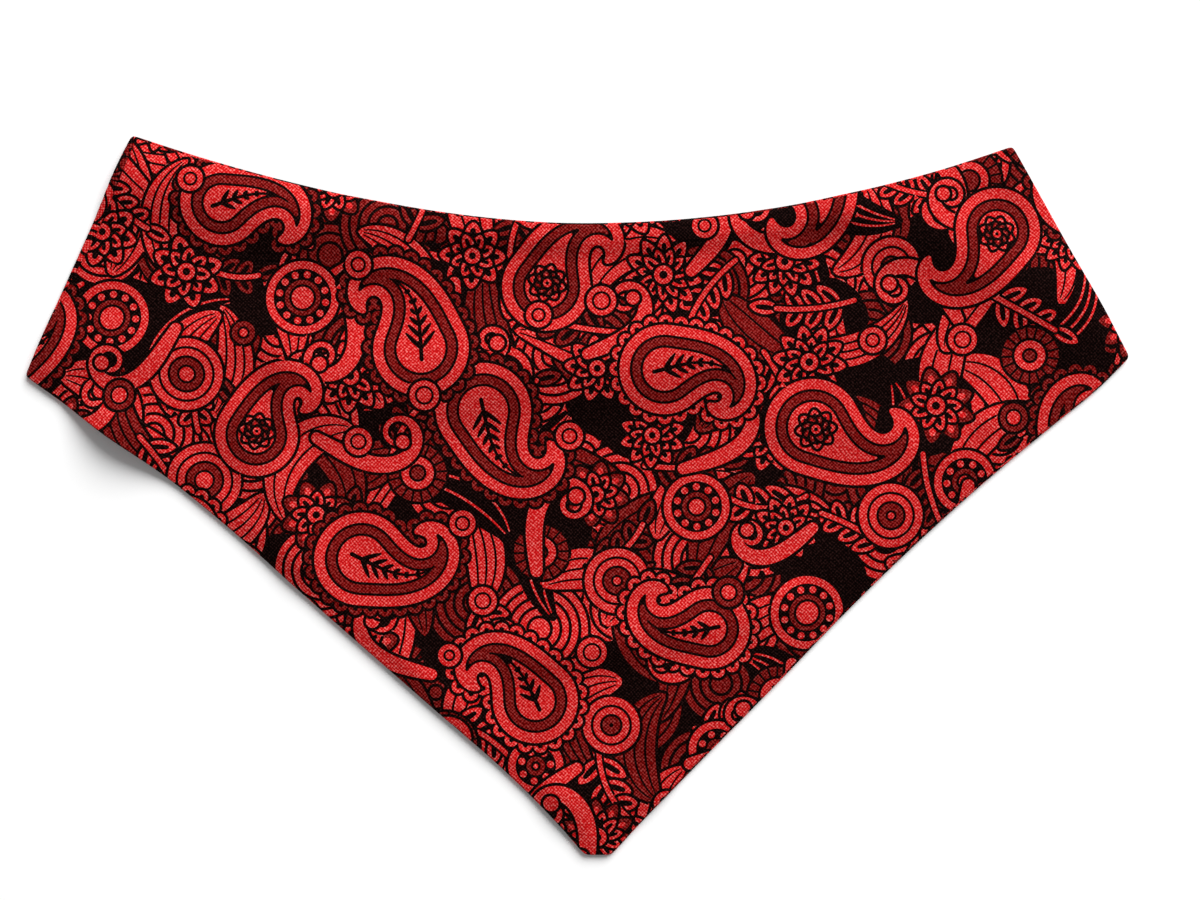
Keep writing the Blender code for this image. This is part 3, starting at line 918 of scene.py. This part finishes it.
class Shade:
    """A socket in a material. Arithmetic on it adds Math nodes, and node() adds any other kind."""

    def __init__(self, tree, socket):
        self.tree = tree
        self.socket = socket

    def node(self, kind, settings=(), inputs=(), output=0):
        """Adds a node, makes its settings, then fills its sockets with values or links."""
        made = self.tree.nodes.new(kind)
        for setting, value in dict(settings).items():
            setattr(made, setting, value)
        for socket, value in dict(inputs).items():
            if isinstance(value, Shade):
                self.tree.links.new(value.socket, made.inputs[socket])
            else:
                made.inputs[socket].default_value = value
        return Shade(self.tree, made.outputs[output])

    def math(self, operation, *values):
        return self.node("ShaderNodeMath", {"operation": operation}, enumerate(values))

    def __add__(self, other):
        return self.math("ADD", self, other)

    def __sub__(self, other):
        return self.math("SUBTRACT", self, other)

    def __rsub__(self, other):
        return self.math("SUBTRACT", other, self)

    def __mul__(self, other):
        return self.math("MULTIPLY", self, other)

    __radd__ = __add__
    __rmul__ = __mul__

    def over(self, low, high):
        """0 below low, 1 above high, and a straight rise between."""
        inputs = {"Value": self, "From Min": low, "From Max": high}
        return self.node("ShaderNodeMapRange", {"clamp": True}, inputs)

    def blend(self, first, second):
        """A colour that goes from the first to the second as this value goes from 0 to 1."""
        inputs = {0: self, 6: first, 7: second}
        return self.node("ShaderNodeMix", {"data_type": "RGBA"}, inputs, output=2)


def printed_cotton(name):
    """Plain weave printed on one side: inks by attribute, painted shade in the gaps between the threads,
    and pale colour at their crowns that is partly bare fibre and partly a painted highlight.

    A crown is where the sine waves of warp and weft are both high or both low. Two stretched noises make
    the threads thick and thin, and a fine one breaks up the even rows.
    """
    material = bpy.data.materials.new(name)
    material.use_nodes = True
    tree = material.node_tree
    shader = tree.nodes["Principled BSDF"]
    start = Shade(tree, None)
    cut = start.node("ShaderNodeAttribute", {"attribute_name": "cut"}, output=1)
    ink = start.node("ShaderNodeAttribute", {"attribute_name": "ink"}, output=2)
    x = start.node("ShaderNodeSeparateXYZ", inputs={0: cut}, output=0)
    y = start.node("ShaderNodeSeparateXYZ", inputs={0: cut}, output=1)

    def noise(scale, stretch=(1, 1, 1), detail=2.0):
        moved = start.node("ShaderNodeVectorMath", {"operation": "MULTIPLY"}, {0: cut, 1: stretch})
        inputs = {"Vector": moved, "Scale": scale, "Detail": detail, "Roughness": 0.6}
        return start.node("ShaderNodeTexNoise", {}, inputs)

    drift = noise(0.12) * THREAD_DRIFT
    warp = start.math("SINE", (x + y * THREAD_SKEW + drift) * (np.pi / THREAD))
    weft = start.math("SINE", (y - x * THREAD_SKEW + drift) * (np.pi / THREAD))
    slub = (noise(1.0, (2.4, 0.5, 1)) - 0.5) + (noise(1.0, (0.5, 2.4, 1)) - 0.5)
    grain = noise(1.05, detail=1.0) - 0.5
    height = warp * weft * HEIGHTS["crossing"] + grain * HEIGHTS["grain"] + slub * HEIGHTS["slub"]
    # lit is 0 in the gaps between threads, where the ink gets painted shade, and 1 on the threads
    lit = height.over(*GAP_HEIGHTS)
    crown = height.over(*CROWN_HEIGHTS)
    worn = noise(0.02, detail=3.0).over(0.3, 0.7)
    is_deep = ink.over(0.4, 0.6)
    is_bright = ink.over(1.4, 1.6)
    colour = is_deep.blend(COLOURS["black"], COLOURS["deep"])
    colour = is_bright.blend(colour, COLOURS["bright"])
    # painted shade: the ink's colour darkened in the gaps between threads
    shade = PAINTED_GAP_SHADE["dark"] + is_bright * PAINTED_GAP_SHADE["bright"]
    painted_gap_shade = start.node("ShaderNodeVectorMath", {"operation": "SCALE"}, {0: colour, "Scale": shade})
    colour = lit.blend(painted_gap_shade, colour)
    # pale colour painted at the crowns: partly bare fibre, partly a painted highlight where they catch the
    # light, and more where worn
    shows = FIBRE_AND_HIGHLIGHT_SHARE["black"] + is_deep * FIBRE_AND_HIGHLIGHT_SHARE["deep"] + is_bright * FIBRE_AND_HIGHLIGHT_SHARE["bright"]
    fibre_and_highlight = crown * shows * (HIGHLIGHT_AND_WORN_SHARE[0] + worn * HIGHLIGHT_AND_WORN_SHARE[1])
    colour = fibre_and_highlight.blend(colour, COLOURS["fibre_and_highlight"])
    relief = {"Strength": RELIEF_STRENGTH, "Distance": THREAD_RELIEF, "Height": height}
    bump = start.node("ShaderNodeBump", {}, relief)
    rough = ROUGHNESS + crown * CROWN_ROUGHNESS
    tree.links.new(colour.socket, shader.inputs["Base Color"])
    tree.links.new(rough.socket, shader.inputs["Roughness"])
    tree.links.new(bump.socket, shader.inputs["Normal"])
    shader.inputs["Specular IOR Level"].default_value = GLOSS
    shader.inputs["Sheen Weight"].default_value = SHEEN
    return material


BACK_STRETCH = 11  # which stretch of the printed cloth the panel is cut from

back = panel_object("back_cloth", False, BACK_STRETCH)
back.data.materials.append(printed_cotton("printed_cotton_back"))
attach(back, "root")
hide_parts("back_panel")


# ----------------------------------------
# Front panel. The piece that shows, cut from another stretch of the same printed cotton. It follows every
# fold, is held up a little just inside the edge by the seam allowances, and has fine creases of its own.

FINE_FOLDS = [
    {"name": "right_centre", "from": (77, 29), "to": (134, 17), "bow": 2, "half_width": 14, "height": 1.5},
    {"name": "centre", "from": (-41, -2), "to": (-7, 10), "bow": 1, "half_width": 12, "height": 1.1},
]
CRUMPLE = 0.07  # height of the faint unevenness all over
ALLOWANCE_BULK = 0.9
ALLOWANCE_WIDTH = 14.0
FRONT_STRETCH = 7


def crumple_height(x, y):
    """Faint unevenness: crossed sine waves whose crests bend slowly."""
    bend_x = x + 6 * np.sin(y / 23 + 1) + 3 * np.sin(y / 9)
    bend_y = y + 7 * np.sin(x / 27 + 2) + 3 * np.sin(x / 11)
    waves = np.sin(bend_x / 3.7 + bend_y / 6.1) + np.sin(bend_y / 4.3 - bend_x / 7.9)
    return CRUMPLE * (waves + np.sin(bend_x / 6.7 + 0.5) * np.sin(bend_y / 5.9))


def front_relief(x, y, inside, settled):
    """What the front has over the shared lie: the allowances' lift, and its own folds away from the edge."""
    allowance = ALLOWANCE_BULK * np.sin(np.pi * np.clip(inside / ALLOWANCE_WIDTH, 0, 1)) ** 2
    return allowance + settled * (ridge_height(x, y, FINE_FOLDS) + crumple_height(x, y) + 2 * CRUMPLE)


front = panel_object("front_cloth", True, FRONT_STRETCH)
front.data.materials.append(printed_cotton("printed_cotton_front"))
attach(front, "root")
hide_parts("front_panel")


# ----------------------------------------
# Light and camera. One wide soft lamp high up beyond the right end of the neckline, a pale room round it,
# and a camera that looks straight down.

ROOM_LIGHT = 0.28
LAMP_WIDTH = 3.8
LAMP_POWER = 345
LAMP_AT = (1.65, 3.1, 2.5)
CAMERA_AT = (0.00855, 0.0175, 0.76)
CAMERA_LENS = 60

scene = bpy.context.scene
scene.view_settings.view_transform = "Standard"
room = bpy.data.worlds.new("room")
scene.world = room
room.use_nodes = True
room.node_tree.nodes["Background"].inputs["Color"].default_value = (1, 1, 1, 1)
room.node_tree.nodes["Background"].inputs["Strength"].default_value = ROOM_LIGHT

lamp = bpy.data.lights.new("soft_lamp", "AREA")
lamp.shape = "DISK"
lamp.size = LAMP_WIDTH
lamp.energy = LAMP_POWER
soft_lamp = bpy.data.objects.new("soft_lamp", lamp)
soft_lamp.location = LAMP_AT
soft_lamp.visible_camera = False
scene.collection.objects.link(soft_lamp)
aim = soft_lamp.constraints.new("TRACK_TO")
aim.target = table
aim.track_axis = "TRACK_NEGATIVE_Z"
aim.up_axis = "UP_Y"

lens = bpy.data.cameras.new("camera")
lens.lens = CAMERA_LENS
camera = bpy.data.objects.new("camera", lens)
camera.location = CAMERA_AT
scene.collection.objects.link(camera)
scene.camera = camera
